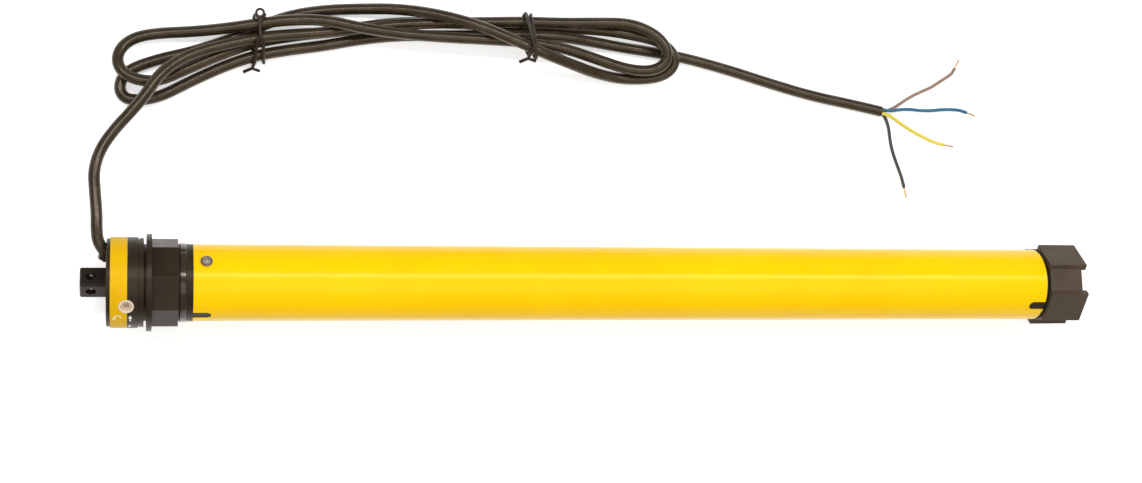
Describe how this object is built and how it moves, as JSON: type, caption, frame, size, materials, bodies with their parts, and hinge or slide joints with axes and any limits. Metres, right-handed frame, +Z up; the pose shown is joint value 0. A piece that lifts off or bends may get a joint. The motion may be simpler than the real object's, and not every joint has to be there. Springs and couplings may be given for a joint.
{
  "type": "tubular roller blind motor",
  "caption": "Tubular motor for a roller blind: yellow tube, head with square pin and limit adjusters, crown, drive wheel and cable in a tied hank.",
  "frame": {"origin": "on the motor's axis at the front face of the head, where the square pin leaves it", "axes": "+X along the motor from the head to the drive wheel, +Y towards the side on which the cable lies, +Z up; the part lies on a flat surface at z = -22 mm"},
  "size_m": [0.485, 0.1562, 0.0441],
  "materials": {
    "pin_steel": "black finish",
    "head_plastic": "moulded",
    "band_plastic": "moulded",
    "adjuster_plastic": "moulded",
    "bezel_plastic": "moulded",
    "screw_steel": "zinc plated",
    "switch_plastic": "moulded",
    "gear_plastic": "moulded",
    "board": "solder mask",
    "crown_plastic": "moulded",
    "clip_plastic": "moulded",
    "tube_paint": "satin yellow paint",
    "capacitor_case": "moulded",
    "shield_alloy": "machined",
    "bearing_steel": "ground",
    "core_iron": "laminated",
    "winding_copper": "varnished wire",
    "brake_case": "painted",
    "brake_lining": "lining",
    "gear_steel": "hobbed",
    "wheel_plastic": "moulded",
    "cable_sheath": "extruded sheath",
    "wire_brown": "extruded",
    "wire_blue": "extruded",
    "wire_yellow_green": "extruded",
    "wire_black": "extruded",
    "bare_copper": "stripped strands",
    "tie_wire": "coated wire"
  },
  "bodies": {
    "motor_housing": {"square_pin": "pin_steel", "head_cover": "head_plastic", "cover_screws": "screw_steel", "head_band": "band_plastic", "head_housing": "head_plastic", "adjuster_bezels": "bezel_plastic", "cable_gland": "head_plastic", "limit_frame": "switch_plastic", "microswitches": "switch_plastic", "head_spigot": "head_plastic", "crown_clip": "clip_plastic", "circuit_board": "board", "tube": "tube_paint", "tube_screws": "screw_steel", "capacitor": "capacitor_case", "motor_shields": "shield_alloy", "stator_core": "core_iron", "stator_windings": "winding_copper", "brake_coil": "brake_case", "ring_gear": "gear_steel", "output_cap": "head_plastic", "cable_lead": "cable_sheath", "cable_hank": "cable_sheath", "cable_tail": "cable_sheath", "wire_brown": "wire_brown", "wire_blue": "wire_blue", "wire_yellow_green": "wire_yellow_green", "wire_black": "wire_black", "conductor_tips": "bare_copper", "hank_tie_left": "tie_wire", "hank_tie_right": "tie_wire"},
    "crown_wheel": {"crown": "crown_plastic"},
    "counter_wheel": {"counter_gear": "gear_plastic"},
    "cam_wheel": {"limit_cam": "gear_plastic"},
    "up_adjuster": {"limit_screw_up": "adjuster_plastic"},
    "down_adjuster": {"limit_screw_down": "adjuster_plastic"},
    "armature": {"brake_armature": "bearing_steel"},
    "output": {"carrier_3": "gear_steel", "output_shaft": "bearing_steel", "drive_wheel": "wheel_plastic", "wheel_clip": "bearing_steel"},
    "second_carrier": {"carrier_2": "gear_steel"},
    "first_carrier": {"carrier_1": "gear_steel"},
    "rotor": {"rotor_core": "core_iron", "rotor_shaft": "bearing_steel", "brake_disc": "brake_lining"},
    "stage_1_gear_1": {"stage_1_planet_1": "gear_steel"},
    "stage_1_gear_2": {"stage_1_planet_2": "gear_steel"},
    "stage_1_gear_3": {"stage_1_planet_3": "gear_steel"},
    "stage_2_gear_1": {"stage_2_planet_1": "gear_steel"},
    "stage_2_gear_2": {"stage_2_planet_2": "gear_steel"},
    "stage_2_gear_3": {"stage_2_planet_3": "gear_steel"},
    "stage_3_gear_1": {"stage_3_planet_1": "gear_steel"},
    "stage_3_gear_2": {"stage_3_planet_2": "gear_steel"},
    "stage_3_gear_3": {"stage_3_planet_3": "gear_steel"}
  },
  "joints": [
    {"name": "crown_spin", "type": "hinge", "parent": "motor_housing", "child": "crown_wheel", "pos_m": [0.0245, 0, 0], "axis": [1, 0, 0], "continuous": true},
    {"name": "counter_spin", "type": "hinge", "parent": "motor_housing", "child": "counter_wheel", "pos_m": [0.0116, -0.00184, -0.01307], "axis": [1, 0, 0], "continuous": true},
    {"name": "cam_spin", "type": "hinge", "parent": "motor_housing", "child": "cam_wheel", "pos_m": [0.0093, -0.00048, -0.00342], "axis": [1, 0, 0], "continuous": true},
    {"name": "up_limit_turn", "type": "hinge", "parent": "motor_housing", "child": "up_adjuster", "pos_m": [0.0088, -0.00972, 0.01431], "axis": [0, -0.5621, 0.8271], "continuous": true},
    {"name": "down_limit_turn", "type": "hinge", "parent": "motor_housing", "child": "down_adjuster", "pos_m": [0.0088, -0.01604, -0.00648], "axis": [0, -0.9272, -0.3746], "continuous": true},
    {"name": "brake_release", "type": "slide", "parent": "motor_housing", "child": "armature", "axis": [-1, 0, 0], "range_m": [0, 0.0004]},
    {"name": "drive_wheel_spin", "type": "hinge", "parent": "motor_housing", "child": "output", "pos_m": [0.4637, 0, 0], "axis": [1, 0, 0], "continuous": true},
    {"name": "second_carrier_spin", "type": "hinge", "parent": "motor_housing", "child": "second_carrier", "pos_m": [0.3873, 0, 0], "axis": [1, 0, 0], "continuous": true},
    {"name": "first_carrier_spin", "type": "hinge", "parent": "motor_housing", "child": "first_carrier", "pos_m": [0.3687, 0, 0], "axis": [1, 0, 0], "continuous": true},
    {"name": "rotor_spin", "type": "hinge", "parent": "motor_housing", "child": "rotor", "pos_m": [0.25, 0, 0], "axis": [1, 0, 0], "continuous": true},
    {"name": "stage_3_planet_1_spin", "type": "hinge", "parent": "output", "child": "stage_3_gear_1", "pos_m": [0.402, 0, 0.009], "axis": [1, 0, 0], "continuous": true},
    {"name": "stage_3_planet_2_spin", "type": "hinge", "parent": "output", "child": "stage_3_gear_2", "pos_m": [0.402, 0.00779, -0.0045], "axis": [1, 0, 0], "continuous": true},
    {"name": "stage_3_planet_3_spin", "type": "hinge", "parent": "output", "child": "stage_3_gear_3", "pos_m": [0.402, -0.00779, -0.0045], "axis": [1, 0, 0], "continuous": true},
    {"name": "stage_2_planet_1_spin", "type": "hinge", "parent": "second_carrier", "child": "stage_2_gear_1", "pos_m": [0.3788, 0, 0.009], "axis": [1, 0, 0], "continuous": true},
    {"name": "stage_2_planet_2_spin", "type": "hinge", "parent": "second_carrier", "child": "stage_2_gear_2", "pos_m": [0.3788, 0.00779, -0.0045], "axis": [1, 0, 0], "continuous": true},
    {"name": "stage_2_planet_3_spin", "type": "hinge", "parent": "second_carrier", "child": "stage_2_gear_3", "pos_m": [0.3788, -0.00779, -0.0045], "axis": [1, 0, 0], "continuous": true},
    {"name": "stage_1_planet_1_spin", "type": "hinge", "parent": "first_carrier", "child": "stage_1_gear_1", "pos_m": [0.3606, 0, 0.009], "axis": [1, 0, 0], "continuous": true},
    {"name": "stage_1_planet_2_spin", "type": "hinge", "parent": "first_carrier", "child": "stage_1_gear_2", "pos_m": [0.3606, 0.00779, -0.0045], "axis": [1, 0, 0], "continuous": true},
    {"name": "stage_1_planet_3_spin", "type": "hinge", "parent": "first_carrier", "child": "stage_1_gear_3", "pos_m": [0.3606, -0.00779, -0.0045], "axis": [1, 0, 0], "continuous": true}
  ],
  "couplings": [
    {"joint": "counter_spin", "follows": "crown_spin", "ratio": 3.2},
    {"joint": "cam_spin", "follows": "crown_spin", "ratio": -0.96},
    {"joint": "second_carrier_spin", "follows": "drive_wheel_spin", "ratio": 4},
    {"joint": "first_carrier_spin", "follows": "drive_wheel_spin", "ratio": 16},
    {"joint": "rotor_spin", "follows": "drive_wheel_spin", "ratio": 64},
    {"joint": "stage_3_planet_1_spin", "follows": "drive_wheel_spin", "ratio": -3},
    {"joint": "stage_3_planet_2_spin", "follows": "drive_wheel_spin", "ratio": -3},
    {"joint": "stage_3_planet_3_spin", "follows": "drive_wheel_spin", "ratio": -3},
    {"joint": "stage_2_planet_1_spin", "follows": "drive_wheel_spin", "ratio": -12},
    {"joint": "stage_2_planet_2_spin", "follows": "drive_wheel_spin", "ratio": -12},
    {"joint": "stage_2_planet_3_spin", "follows": "drive_wheel_spin", "ratio": -12},
    {"joint": "stage_1_planet_1_spin", "follows": "drive_wheel_spin", "ratio": -48},
    {"joint": "stage_1_planet_2_spin", "follows": "drive_wheel_spin", "ratio": -48},
    {"joint": "stage_1_planet_3_spin", "follows": "drive_wheel_spin", "ratio": -48}
  ]
}
